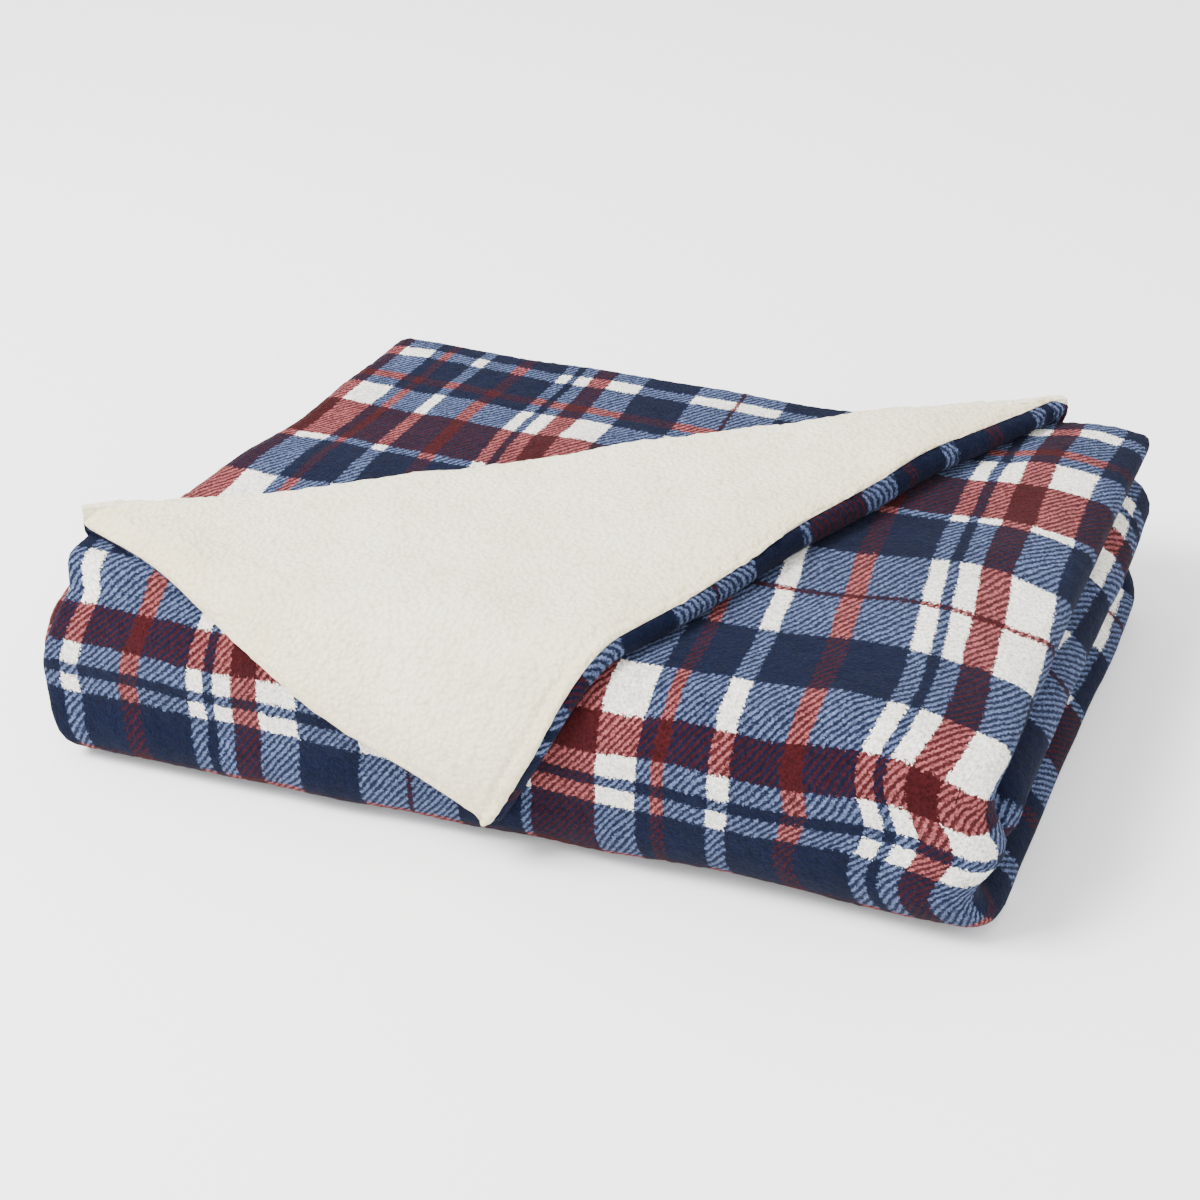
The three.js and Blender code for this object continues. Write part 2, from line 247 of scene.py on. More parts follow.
def width_fold(u, offset):
    """X and height in the bundle at u, with offset towards the plush side."""
    x, h = LEFT + u, LAYER + offset
    turn = (u - U_RIGHT_FOLD) / LAYER
    inside = u >= U_RIGHT_FOLD
    x = np.where(inside, RIGHT + (LAYER + offset) * np.sin(turn), x)
    h = np.where(inside, (LAYER + offset) * np.cos(turn), h)
    inside = u >= U_BOTTOM
    x = np.where(inside, RIGHT - (u - U_BOTTOM), x)
    h = np.where(inside, -(LAYER + offset), h)
    turn = (u - U_LEFT_FOLD) / (LAYER / 2)
    inside = u >= U_LEFT_FOLD
    x = np.where(inside, LEFT - (LAYER / 2 + offset) * np.sin(turn), x)
    h = np.where(inside, -LAYER / 2 - (LAYER / 2 + offset) * np.cos(turn), h)
    inside = u >= U_MIDDLE
    x = np.where(inside, LEFT + (u - U_MIDDLE), x)
    h = np.where(inside, offset, h)
    return x, h


def depth_fold(v, h):
    """Y and Z at v, for a height h in the bundle."""
    y, z = HEM - v, BASE + 3.5 * BUNDLE + h
    radius = BEND_CENTRE + h
    middle = BASE + STACK / 2
    turn = (v - V_OUTER_FOLD) / BEND_CENTRE
    inside = v >= V_OUTER_FOLD
    y = np.where(inside, FLAT_FRONT - radius * np.sin(turn), y)
    z = np.where(inside, middle + FRONT_WALL / 2 + radius * np.cos(turn), z)
    down = v - V_OUTER_FOLD - FRONT_BEND
    inside = down >= 0
    y = np.where(inside, FLAT_FRONT - radius, y)
    z = np.where(inside, middle + FRONT_WALL / 2 - down, z)
    turn = (down - FRONT_WALL) / BEND_CENTRE
    inside = down >= FRONT_WALL
    y = np.where(inside, FLAT_FRONT - radius * np.cos(turn), y)
    z = np.where(inside, middle - FRONT_WALL / 2 - radius * np.sin(turn), z)
    inside = v >= V_QUARTER_3
    y = np.where(inside, FLAT_FRONT + (v - V_QUARTER_3), y)
    z = np.where(inside, BASE + 0.5 * BUNDLE - h, z)
    turn = (v - V_BACK_FOLD) / (BUNDLE / 2)
    inside = v >= V_BACK_FOLD
    y = np.where(inside, BACK + (BUNDLE / 2 + h) * np.sin(turn), y)
    z = np.where(inside, BASE + BUNDLE - (BUNDLE / 2 + h) * np.cos(turn), z)
    inside = v >= V_QUARTER_2
    y = np.where(inside, BACK - (v - V_QUARTER_2), y)
    z = np.where(inside, BASE + 1.5 * BUNDLE + h, z)
    turn = (v - V_INNER_FOLD) / (BUNDLE / 2)
    inside = v >= V_INNER_FOLD
    y = np.where(inside, FRONT - (BUNDLE / 2 - h) * np.sin(turn), y)
    z = np.where(inside, BASE + 2 * BUNDLE + (BUNDLE / 2 - h) * -np.cos(turn), z)
    inside = v >= V_QUARTER_1
    y = np.where(inside, FRONT + (v - V_QUARTER_1), y)
    z = np.where(inside, BASE + 2.5 * BUNDLE - h, z)
    return y, z


def front_turn(v):
    """How far the sheet has turned over the outer front fold and the back fold."""
    bend_1 = np.clip((v - V_OUTER_FOLD) / BEND_CENTRE, 0, math.pi / 2)
    bend_2 = np.clip((v - V_QUARTER_3) / BEND_CENTRE + math.pi / 2, 0, math.pi / 2)
    back = np.clip((v - V_BACK_FOLD) / (BUNDLE / 2), 0, math.pi)
    return bend_1 + bend_2 + back


def round_off(distance, reach):
    """The share of its thickness that cloth has near a hem: a quarter circle up to reach."""
    t = np.clip(distance / reach, 0.02, 1)
    return np.sqrt(1 - (1 - t) ** 2)


# ---- The plaid's coordinates: warp across the width, weft along the depth ----

MIDDLE_SHIFT = 1016.0  # of the middle layer's plaid against the top layer's
LEFT_ARC = (LAYER - HALF_GAP) * math.pi
RIGHT_ARC = (1.5 * LAYER - HALF_GAP) * math.pi
SKEW = 21.0  # how far the warp stripes drift to the left towards the front
TAUT_FROM = 150.0  # beyond this the sheet is stretched over the front
TAUT = 0.24


def plaid_u(u, y):
    """Warp coordinate, measured on the plush."""
    bottom = PANEL + RIGHT_ARC
    middle = MIDDLE_SHIFT - LEFT_ARC
    stops = [0, U_RIGHT_FOLD, U_BOTTOM, U_LEFT_FOLD, U_MIDDLE, BLANKET_LENGTH]
    marks = [0, PANEL, bottom, middle, MIDDLE_SHIFT, MIDDLE_SHIFT + PANEL]
    return np.interp(u, stops, marks) + SKEW * (1 - smooth(-y, -60, 150))


def plaid_v(v):
    """Weft coordinate, measured along the outermost layer round the folds."""
    around = v + (1.5 * LAYER - HALF_GAP) * front_turn(v)
    return around - TAUT * np.maximum(around - TAUT_FROM, 0)


# ---- Meshes ----

# The noise module's vectors start from the clock unless it is given a seed.
noise.seed_set(NOISE_SEED)


def ruffled(grid, strength, grain, seed):
    """Moves a grid of points by a fixed noise, for cloth that never lies quite flat."""
    shift = Vector((seed * 17.3, seed * 5.1, seed * 9.7))
    points = grid.reshape(-1, 3)
    moves = [noise.noise_vector(Vector(p) / grain + shift) for p in points]
    return (points + strength * np.array(moves)).reshape(grid.shape)


def sagged(grid):
    """A grid of points with the whole blanket's unevenness."""
    return ruffled(grid, SAG, SAG_GRAIN, 1)


def curled(grid):
    """The turned-up face of the sherpa, with its curls and slower waves."""
    return ruffled(ruffled(grid, CURL, CURL_GRAIN, 3), HEAVE, HEAVE_GRAIN, 4)


def outward_volume(points, faces):
    """Positive if the faces of a closed mesh point outwards."""
    p = points[faces]
    area = np.cross(p[:, 2] - p[:, 0], p[:, -1] - p[:, 1])
    return np.einsum("ij,ij->", p.mean(axis=1), area)


def new_object(name, points, faces, coords, slot):
    """A smooth mesh in metres, with the plaid's coordinates on its points."""
    mesh = bpy.data.meshes.new(name)
    points = np.maximum(points, (-1000, -1000, FLOOR_CLEAR))
    mesh.from_pydata((points / 1000).tolist(), [], faces.tolist())
    if outward_volume(points, faces) < 0:
        mesh.flip_normals()
    sheet = mesh.attributes.new("sheet", "FLOAT_VECTOR", "POINT")
    sheet.data.foreach_set("vector", coords.astype(np.float32).ravel())
    mesh.shade_smooth()
    mesh.materials.append(materials[slot])
    obj = bpy.data.objects.new(name, mesh)
    bpy.context.scene.collection.objects.link(obj)
    return obj


def sharpen_rim(mesh, rim_points):
    """Marks the edges between rim points sharp, so that the faces' shading stays clean."""
    on_rim = np.zeros(len(mesh.vertices), dtype=bool)
    on_rim[rim_points] = True
    ends = np.zeros(2 * len(mesh.edges), dtype=np.int32)
    mesh.edges.foreach_get("vertices", ends)
    sharp = on_rim[ends.reshape(-1, 2)].all(axis=1)
    mesh.attributes.new("sharp_edge", "BOOLEAN", "EDGE").data.foreach_set("value", sharp)


def solid_sheet(name, high, low, coords, slot):
    """A closed sheet between two grids of points of shape (rows, columns, 3)."""
    rows, columns = high.shape[:2]
    count = rows * columns
    points = np.concatenate([high.reshape(-1, 3), low.reshape(-1, 3)])
    index = np.arange(count).reshape(rows, columns)
    a, b = index[:-1, :-1].ravel(), index[:-1, 1:].ravel()
    c, d = index[1:, 1:].ravel(), index[1:, :-1].ravel()
    ring = [index[0, :-1], index[:-1, -1], index[-1, :0:-1], index[:0:-1, 0]]
    ring = np.concatenate(ring)
    after = np.roll(ring, -1)
    upper = np.stack([a, b, c, d], 1)
    lower = np.stack([d, c, b, a], 1) + count
    rim = np.stack([after, ring, ring + count, after + count], 1)
    coords = np.concatenate([coords.reshape(-1, 3)] * 2)
    obj = new_object(name, points, np.concatenate([upper, lower, rim]), coords, slot)
    sharpen_rim(obj.data, np.concatenate([ring, ring + count]))
    return obj


PLIES = {"plush": (LAYER / 2 - HALF_GAP, GAP), "sherpa": (0, -SHERPA)}
SLOTS = {"plush": "plush_face", "sherpa": "sherpa_back"}
HEM_STEPS = [0, 0.6, 1.6, 3.2, EDGE_ROUND]


def spaced(start, end, step, hem=False):
    """Values from start to end about a step apart, closer together at a hem at start."""
    if hem:
        return np.concatenate([start + np.array(HEM_STEPS), spaced(start + 8, end, step)])
    return np.linspace(start, end, max(2, round(abs(end - start) / step) + 1))


def joined(*runs):
    """Runs of values one after another, with the shared ends kept once."""
    return np.unique(np.round(np.concatenate(runs), 4))


def along_length(start, end, step):
    """Values of u from one panel to another, with fine steps round each fold."""
    u = joined(
        spaced(0, U_RIGHT_FOLD, step, hem=True),
        spaced(U_RIGHT_FOLD, U_BOTTOM, 2.9),
        spaced(U_BOTTOM, U_LEFT_FOLD, 2 * step),
        spaced(U_LEFT_FOLD, U_MIDDLE, 2.9),
        spaced(U_MIDDLE, BLANKET_LENGTH - 8, 2 * step),
        BLANKET_LENGTH - np.array(HEM_STEPS),
    )
    return u[(u >= start - 0.01) & (u <= end + 0.01)]


def stack_piece(name, ply, us, vs, left_edge=None):
    """One ply of part of the folded stack, on a grid of us by vs."""
    v, u = np.meshgrid(vs, us, indexing="ij")
    if left_edge is not None:
        start = left_edge(v)
        u = start + (us[-1] - start) * (u - us[0]) / (us[-1] - us[0])
    to_hem = np.minimum(np.minimum(u, BLANKET_LENGTH - u), np.minimum(v, BLANKET_WIDTH - v))
    grids = []
    for offset in PLIES[ply]:
        x, h = width_fold(u, offset * round_off(to_hem, EDGE_ROUND))
        y, z = depth_fold(v, h)
        soft = soften(np.stack([x.ravel(), y.ravel(), z.ravel()], axis=1))
        grids.append(soft.reshape(v.shape + (3,)))
        if offset == PLIES[ply][0]:
            coords = np.stack([plaid_u(u, y), plaid_v(v), to_hem], axis=-1)
    grids = [sagged(grid) for grid in grids]
    grids[0] = ruffled(grids[0], NAP, NAP_GRAIN, 2)
    obj = solid_sheet(name, grids[0], grids[1], coords, SLOTS[ply])
    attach(obj, "folded_stack")
    return obj


def crease_edge(v):
    """Where the top panel starts, in u, on the crease of the turned corner."""
    y = HEM - v
    share = (y - CREASE_LEFT[1]) / FLAP_SIDE
    return np.clip(share, 0, 1) * FLAP_END + 0.15


COARSE, FINE = 14.0, 3.6
STRETCHES = {
    "quarter_1": (V_QUARTER_1, BLANKET_WIDTH, COARSE),
    "quarter_2": (V_QUARTER_2, V_INNER_FOLD, COARSE),
    "quarter_3": (V_QUARTER_3, V_BACK_FOLD, COARSE),
    "inner_front_fold": (V_INNER_FOLD, V_QUARTER_1, 5.0),
    "back_fold": (V_BACK_FOLD, V_QUARTER_2, 4.0),
}


def fold_stack():
    """Every piece of both plies that rides on the folded stack."""
    for ply in PLIES:
        for part, (start, end, step) in STRETCHES.items():
            vs = spaced(start, end, step)
            if part == "quarter_1":
                vs = joined(spaced(start, end - 8, step), end - np.array(HEM_STEPS))
            name = f"{ply}_{part}"
            obj = stack_piece(f"{name}_cloth", ply, along_length(0, BLANKET_LENGTH, 9.0), vs)
            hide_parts(name)
        fold_front(ply)
        fold_quarter_4(ply)


def fold_front(ply):
    """The outer front fold: its outermost layer, and the two layers inside."""
    step = FINE if ply == "plush" else 8.0
    vs = spaced(V_OUTER_FOLD, V_QUARTER_3, step)
    node = f"{ply}_outer_front_fold"
    face = stack_piece(f"{node}_face", ply, along_length(0, U_RIGHT_FOLD, step), vs)
    inside = along_length(U_RIGHT_FOLD, BLANKET_LENGTH, 6.0)
    lining = stack_piece(f"{node}_inside", ply, inside, spaced(V_OUTER_FOLD, V_QUARTER_3, 6.0))
    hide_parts(node)
    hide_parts(node)


def fold_quarter_4(ply):
    """The top quarter: its top panel up to the crease, its right fold and what is under."""
    step = FINE if ply == "plush" else 8.0
    vs = spaced(0, V_OUTER_FOLD, step, hem=True)
    top_vs = spaced(0.3, V_OUTER_FOLD, step, hem=True)
    us = spaced(0, U_RIGHT_FOLD, step)
    top = stack_piece(f"{ply}_top_cloth", ply, us, top_vs, left_edge=crease_edge)
    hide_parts(f"{ply}_quarter_4_top_panel")
    side = stack_piece(f"{ply}_side_cloth", ply, along_length(U_RIGHT_FOLD, U_BOTTOM, step), vs)
    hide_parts(f"{ply}_quarter_4_side_fold")
    under = stack_piece(f"{ply}_under_cloth", ply, along_length(U_BOTTOM, U_MIDDLE, 9.0), vs)
    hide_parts(f"{ply}_quarter_4_lower_panels")
    fine = joined(spaced(U_MIDDLE, BLANKET_LENGTH - 8, step), BLANKET_LENGTH - np.array(HEM_STEPS))
    middle = stack_piece(f"{ply}_middle_cloth", ply, fine, vs)
    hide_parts(f"{ply}_quarter_4_lower_panels")


# ---- The turned-back corner ----

def flap_place(y, offset):
    """Y and Z of the turned corner's flat y: on the top, then over the front."""
    over = np.maximum(FLAT_FRONT - y, 0)
    turn = np.minimum(over / DRAPE_RADIUS, math.pi / 2)
    down = np.maximum(over - DRAPE_RADIUS * math.pi / 2, 0)
    radius = FRONT_RADIUS + offset
    place_y = np.where(over > 0, FLAT_FRONT - radius * np.sin(turn), y)
    place_z = TOP - FRONT_RADIUS + np.where(over > 0, radius * np.cos(turn), radius) - down
    return place_y, place_z


def hem_distances(x, y):
    """Distances inside the side and end hems of the turned corner, whose tip is rounded."""
    along = (TIP - CREASE_LEFT) / FLAP_SIDE
    side = -(x - CREASE_LEFT[0]) * along[1] + (y - CREASE_LEFT[1]) * along[0]
    end = -beside_end_hem(x, y)
    to_side = np.maximum(TIP_ROUND - side, 0)
    to_end = np.maximum(TIP_ROUND - end, 0)
    far = np.maximum(np.maximum(to_side, to_end), 1e-6)
    stretch = np.hypot(to_side, to_end) / far
    side = np.where((to_side > 0) & (to_end > 0), TIP_ROUND - to_side * stretch, side)
    end = np.where((to_side > 0) & (to_end > 0), TIP_ROUND - to_end * stretch, end)
    return side, end


def hem_edges(y):
    """Where the flat row at y meets the crease or side hem, and the end hem."""
    up_side = (CREASE_LEFT - TIP) / FLAP_SIDE
    up_end = (CREASE_BACK - TIP) / FLAP_END
    centre = TIP + TIP_ROUND * (up_side + up_end)
    half = math.sqrt(max(TIP_ROUND ** 2 - (y - centre[1]) ** 2, 0.01))
    left = np.interp(y, [TIP[1], CREASE_LEFT[1]], [TIP[0], CREASE_LEFT[0]])
    right = np.interp(y, [TIP[1], CREASE_BACK[1]], [TIP[0], CREASE_BACK[0]])
    if y < (TIP + TIP_ROUND * up_side)[1]:
        left = centre[0] - half
    if y < (TIP + TIP_ROUND * up_end)[1]:
        right = centre[0] + half
    if y > CREASE_LEFT[1]:
        left = LEFT + (y - CREASE_LEFT[1]) * FLAP_END / FLAP_SIDE - CREASE_OVERLAP
    return left, right


def flap_offsets(ply, side, end):
    """Lowest and highest offset of a ply of the turned corner, given the hem distances."""
    band = smooth(-end, -15, -6)
    band_height = BAND_HEIGHT + BAND_GROWTH * smooth(side, 60, 300)
    band_height = band_height - BAND_END_FALL * smooth(side, 380, 450)
    plush_high = PLUSH + HALF_GAP + (band_height - PLUSH) * band
    middle = 0.45 * plush_high
    round_end = round_off(end, BAND_DEPTH)
    plush_low = middle - (middle - HALF_GAP) * round_end
    plush_high = middle + (plush_high - middle) * round_end
    thin = round_off(side, 3.0)
    plush_low, plush_high = plush_low * thin + 1.2 * (1 - thin), plush_high * thin + 1.5 * (1 - thin)
    if ply == "plush":
        return plush_low, plush_high
    full = LAYER - HALF_GAP + SHERPA_PUFF * smooth(side, 0, PUFF_REACH)
    for distance in (side, end):
        full = full - STITCH_DENT * np.exp(-((distance - STITCH_LINE) / 2.2) ** 2)
    rim = round_off(side, 8.0) * round_off(end - 4.5, 5.0)
    low = plush_high + GAP
    return low, low + np.maximum(full - low, SHERPA_LEAST) * rim + 0.2


def flap_rows(y_values, columns, inset):
    """Flat points of the turned corner, one row for each y, inset from the end hem."""
    rows = []
    share = np.linspace(0, 1, columns)
    for y in y_values:
        left, right = hem_edges(y)
        right = max(right - inset, left + 0.2)
        width = right - left
        near = min(HEM_STRIP, width / 3)
        cut = HEM_STRIP_SHARE
        spread = np.interp(share, [0, cut, 1 - cut, 1], [0, near, width - near, width])
        rows.append(np.stack([left + spread, np.full(columns, y)], axis=1))
    return np.array(rows)


def flap_piece(name, ply, y_values, columns):
    """One ply of a stretch of the turned corner."""
    flat = flap_rows(y_values, columns, PLUSH_INSET if ply == "plush" else SHERPA_INSET)
    x, y = flat[..., 0], flat[..., 1]
    side, end = hem_distances(x, y)
    low, high = flap_offsets(ply, side, end)
    grids = []
    for offset in (high, low):
        place_y, place_z = flap_place(y, offset)
        points = np.stack([x.ravel(), place_y.ravel(), place_z.ravel()], axis=1)
        grids.append(soften(points, y.ravel()).reshape(x.shape + (3,)))
    grids = [sagged(grid) for grid in grids]
    if ply == "sherpa":
        grids[0] = curled(grids[0])
    else:
        grids[0] = ruffled(grids[0], FLAP_NAP, NAP_GRAIN, 4)
    # The turned corner's plaid is the blanket's own, read from where the corner was.
    along, across = np.cos(2 * CREASE_ANGLE), np.sin(2 * CREASE_ANGLE)
    dx, dy = x - CREASE_LEFT[0], y - CREASE_LEFT[1]
    u = dx * along + dy * across
    v = FLAP_SIDE - (dx * across - dy * along)
    coords = np.stack([plaid_u(u, HEM - v), plaid_v(v), np.minimum(side, end)], axis=-1)
    return solid_sheet(name, grids[0], grids[1], coords, SLOTS[ply])


HALF_TURN_Y = FLAT_FRONT - DRAPE_RADIUS * math.pi / 4

# The rounded tip's lowest flat point.
UP_HEMS = (CREASE_LEFT - TIP) / FLAP_SIDE + (CREASE_BACK - TIP) / FLAP_END
LOWEST = (TIP + TIP_ROUND * UP_HEMS)[1] - TIP_ROUND


def turn_corner():
    """The turned-back corner, its drape over the front and the roll at its crease."""
    for ply in PLIES:
        step = 2.8 if ply == "sherpa" else 3.4
        columns = 150 if ply == "sherpa" else 110
        on_top = spaced(HEM - 0.4, HALF_TURN_Y, step)
        flap = flap_piece(f"{ply}_flap_cloth", ply, on_top, columns)
        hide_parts(f"{ply}_flap")
        roll = roll_crease(ply)
        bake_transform(flap)
        hanging = spaced(HALF_TURN_Y - 0.05, LOWEST + 0.2, step)
        drape = flap_piece(f"{ply}_drape_cloth", ply, hanging, columns)
        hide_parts(f"{ply}_upper_drape", f"{ply}_lower_drape")
        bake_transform(drape)


def roll_crease(ply):
    """The roll of one ply where the corner turns back."""
    inner, outer = (HALF_GAP, HALF_GAP + PLUSH) if ply == "plush" else (LAYER / 2, LAYER - HALF_GAP)
    along = np.array([math.cos(CREASE_ANGLE), math.sin(CREASE_ANGLE)])
    away = np.array([-along[1], along[0]])
    places = spaced(0.2, CREASE_LENGTH - 0.2, 3.0)
    turns = np.linspace(-math.pi / 2, math.pi / 2, 13)
    distance, turn = np.meshgrid(places, turns, indexing="ij")
    grids = []
    for base_radius, edge in ((outer, True), (inner, False)):
        puff = SHERPA_PUFF * smooth(turn, -1.2, 1.5) if ply == "sherpa" and edge else 0
        radius = base_radius + puff
        reach = radius * np.cos(turn) * (1.25 if ply == "sherpa" else 1.0)
        x = CREASE_LEFT[0] + along[0] * distance + away[0] * reach
        y = CREASE_LEFT[1] + along[1] * distance + away[1] * reach
        z = TOP + radius * np.sin(turn)
        points = np.stack([x.ravel(), y.ravel(), z.ravel()], axis=1)
        grids.append(soften(points, points[:, 1]).reshape(x.shape + (3,)))
    grids = [sagged(grid) for grid in grids]
    if ply == "sherpa":
        grids[0] = curled(grids[0])
    u = distance * FLAP_END / CREASE_LENGTH
    v = FLAP_SIDE - distance * FLAP_SIDE / CREASE_LENGTH
    coords = np.stack([plaid_u(u, HEM - v), plaid_v(v), np.full_like(u, FAR_FROM_HEM)], axis=-1)
    roll = solid_sheet(f"{ply}_crease_cloth", grids[0], grids[1], coords, SLOTS[ply])
    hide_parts(f"{ply}_crease_roll")
    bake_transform(roll)
    return roll


def topstitch(name, start, turn, y_range):
    """A row of stitches along a hem of the turned corner, which runs from start to the tip."""
    along = (TIP - start) / np.linalg.norm(TIP - start)
    inward = np.array([-along[1], along[0]]) * turn
    length = np.linalg.norm(TIP - start)
    points, faces, coords = [], [], []
    rings, sides = 5, 6
    for begin in np.arange(20, length - 3 * STITCH_INSET, STITCH_PITCH):
        flat = start + inward * STITCH_LINE + along * begin
        if not y_range[0] <= flat[1] < y_range[1]:
            continue
        first = len(points)
        for ring in range(rings):
            share = ring / (rings - 1)
            centre = flat + along * STITCH_LENGTH * share
            swell = THREAD_RADIUS * math.sin(math.pi * (0.12 + 0.76 * share))
            for k in range(sides):
                angle = 2 * math.pi * k / sides
                sideways = centre + inward * swell * math.cos(angle)
                offset = LAYER + 0.3 + swell * math.sin(angle)
                y, z = flap_place(sideways[1], offset)
                points.append((sideways[0], float(y), float(z), sideways[1]))
                coords.append((share * 4, angle, 0))
        for ring in range(rings - 1):
            for k in range(sides):
                a = first + ring * sides + k
                b = first + ring * sides + (k + 1) % sides
                faces.append((a, b, b + sides, a + sides))
        for ring_start, order in ((first, 1), (first + (rings - 1) * sides, -1)):
            loop = [ring_start + k for k in range(sides)][::-order]
            faces.append((loop[0], loop[1], loop[2], loop[3]))
            faces.append((loop[0], loop[3], loop[4], loop[5]))
    data = np.array(points)
    soft = sagged(soften(data[:, :3], data[:, 3])[None])[0]
    return new_object(name, soft, np.array(faces), np.array(coords), "thread")


def stitch_corner():
    """The topstitching of both hems, on the flap and on its drape."""
    for hem, start, turn in (("side", CREASE_LEFT, 1), ("end", CREASE_BACK, -1)):
        flap = topstitch(f"{hem}_stitches_flap", start, turn, (HALF_TURN_Y, HEM))
        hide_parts(f"{hem}_topstitch_flap")
        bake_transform(flap)
        drape = topstitch(f"{hem}_stitches_drape", start, turn, (TIP[1], HALF_TURN_Y))
        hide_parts(f"{hem}_topstitch_upper_drape", f"{hem}_topstitch_lower_drape")
        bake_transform(drape)


# ---- Materials ----

NAVY = (0.0042, 0.0068, 0.0215, 1)
RED = (0.040, 0.0055, 0.007, 1)
WHITE = (0.82, 0.80, 0.72, 1)
CREAM = (0.92, 0.865, 0.70, 1)

# What a white yarn looks like where it crosses each colour.
TINTS = {NAVY: (0.125, 0.165, 0.295, 1), RED: (0.37, 0.105, 0.105, 1), WHITE: (0.93, 0.93, 0.95, 1)}

# One repeat of the plaid: stripe colour and width, the same for warp and weft.
SETT = [
    (RED, 9.6), (NAVY, 24), (WHITE, 9), (NAVY, 5.6), (WHITE, 9.2), (RED, 16), (WHITE, 21),
    (NAVY, 35), (WHITE, 26.3), (RED, 3), (WHITE, 26.3), (NAVY, 36), (WHITE, 6), (RED, 36),
    (WHITE, 21.3), (NAVY, 9.5), (RED, 6.4), (NAVY, 21), (WHITE, 9.3), (NAVY, 24.5),
]
REPEAT = 364.0
TWILL = 4.0  # from one diagonal line of the hatching to the next
WARP_START = 46.0  # the first stripe's place across the blanket
WEFT_START = -10.4  # and down it, where the order runs backwards

# Whole repeats and whole lines, added so that no place is below zero.
REPEATS_BEFORE = 4 * REPEAT
TWILL_BEFORE = 2250 * TWILL


def grey(value):
    """A grey as a colour."""
    return (value, value, value, 1)


class Nodes:
    """A material's node tree, with short ways to add and join nodes."""

    def __init__(self, name):
        self.material = bpy.data.materials.new(name)
        self.material.use_nodes = True
        self.tree = self.material.node_tree
        self.shader = self.tree.nodes["Principled BSDF"]

    def add(self, kind, **settings):
        node = self.tree.nodes.new(kind)
        for key, value in settings.items():
            setattr(node, key, value)
        return node

    def feed(self, socket, value):
        if isinstance(value, bpy.types.NodeSocket):
            self.tree.links.new(value, socket)
        else:
            socket.default_value = value

    def math(self, operation, a, b=0.0):
        node = self.add("ShaderNodeMath", operation=operation)
        self.feed(node.inputs[0], a)
        self.feed(node.inputs[1], b)
        return node.outputs[0]

    def mix(self, share, a, b, blend="MIX"):
        node = self.add("ShaderNodeMix", data_type="RGBA", blend_type=blend)
        self.feed(node.inputs["Factor"], share)
        self.feed(node.inputs[6], a)
        self.feed(node.inputs[7], b)
        return node.outputs[2]

    def ramp(self, value, stops, interpolation="LINEAR"):
        node = self.add("ShaderNodeValToRGB")
        ramp = node.color_ramp
        ramp.interpolation = interpolation
        for place, color in stops[1:]:
            ramp.elements.new(place)
        ramp.elements.remove(ramp.elements[-1])
        for element, (place, color) in zip(ramp.elements, stops):
            element.position = place
            element.color = color
        self.feed(node.inputs[0], value)
        return node.outputs[0]

    def repeats(self, value, before, period):
        """How far value has come through its repeat, from 0 to 1, with before added to it."""
        return self.math("FRACT", self.math("DIVIDE", self.math("ADD", value, before), period))

    def place(self):
        return self.add("ShaderNodeTexCoord").outputs["Object"]

    def noise(self, grain, detail=2.0, rough=0.55):
        node = self.add("ShaderNodeTexNoise")
        self.feed(node.inputs["Vector"], self.place())
        node.inputs["Scale"].default_value = 1000 / grain
        node.inputs["Detail"].default_value = detail
        node.inputs["Roughness"].default_value = rough
        return node.outputs[0]

    def cells(self, grain):
        node = self.add("ShaderNodeTexVoronoi", feature="F1")
        self.feed(node.inputs["Vector"], self.place())
        node.inputs["Scale"].default_value = 1000 / grain
        return node.outputs["Distance"]

    def bump(self, height, depth, strength=1.0, under=None):
        node = self.add("ShaderNodeBump")
        node.inputs["Strength"].default_value = strength
        node.inputs["Distance"].default_value = depth / 1000
        self.feed(node.inputs["Height"], height)
        if under is not None:
            self.feed(node.inputs["Normal"], under)
        return node.outputs[0]


def sett_stops(reverse, tints=None):
    """Colour stops of one repeat of the plaid, in shares of the repeat."""
    order = SETT[::-1] if reverse else SETT
    total = sum(width for color, width in order)
    stops, place = [], 0.0
    for color, width in order:
        stops.append((place / total, color if tints is None else tints[color]))
        place += width
    return stops


